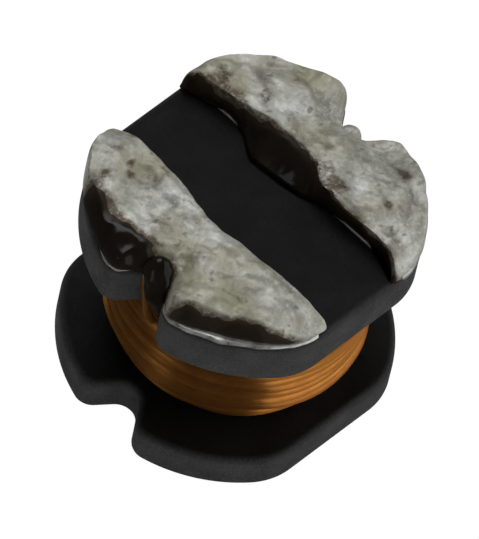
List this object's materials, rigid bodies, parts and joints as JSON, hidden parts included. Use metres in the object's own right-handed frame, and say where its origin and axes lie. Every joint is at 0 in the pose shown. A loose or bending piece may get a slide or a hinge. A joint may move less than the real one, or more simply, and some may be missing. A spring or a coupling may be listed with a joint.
{
  "type": "smd drum core inductor",
  "caption": "Open drum core inductor: a notched ferrite drum wound with enamelled wire, with two soldered terminals on one flange.",
  "frame": {"origin": "centre of the plain flange's outer face, on the drum's axis", "axes": "+Z along the drum's axis towards the terminals, +X from the finish terminal to the start terminal through both wire notches, Y along the bare channel between the terminals"},
  "size_m": [0.0056, 0.0052, 0.0046],
  "materials": {
    "ferrite": "matte sintered ferrite",
    "enamelled_copper": "clear orange-brown enamel over copper",
    "terminal_metal": "fired silver terminal",
    "solder": "reflowed solder, dull and stained",
    "flux": "glossy dark brown flux residue"
  },
  "bodies": {
    "root": {"ferrite_core": "ferrite", "winding": "enamelled_copper", "start_terminal": "terminal_metal", "finish_terminal": "terminal_metal", "start_solder": "solder", "finish_solder": "solder"}
  },
  "joints": []
}
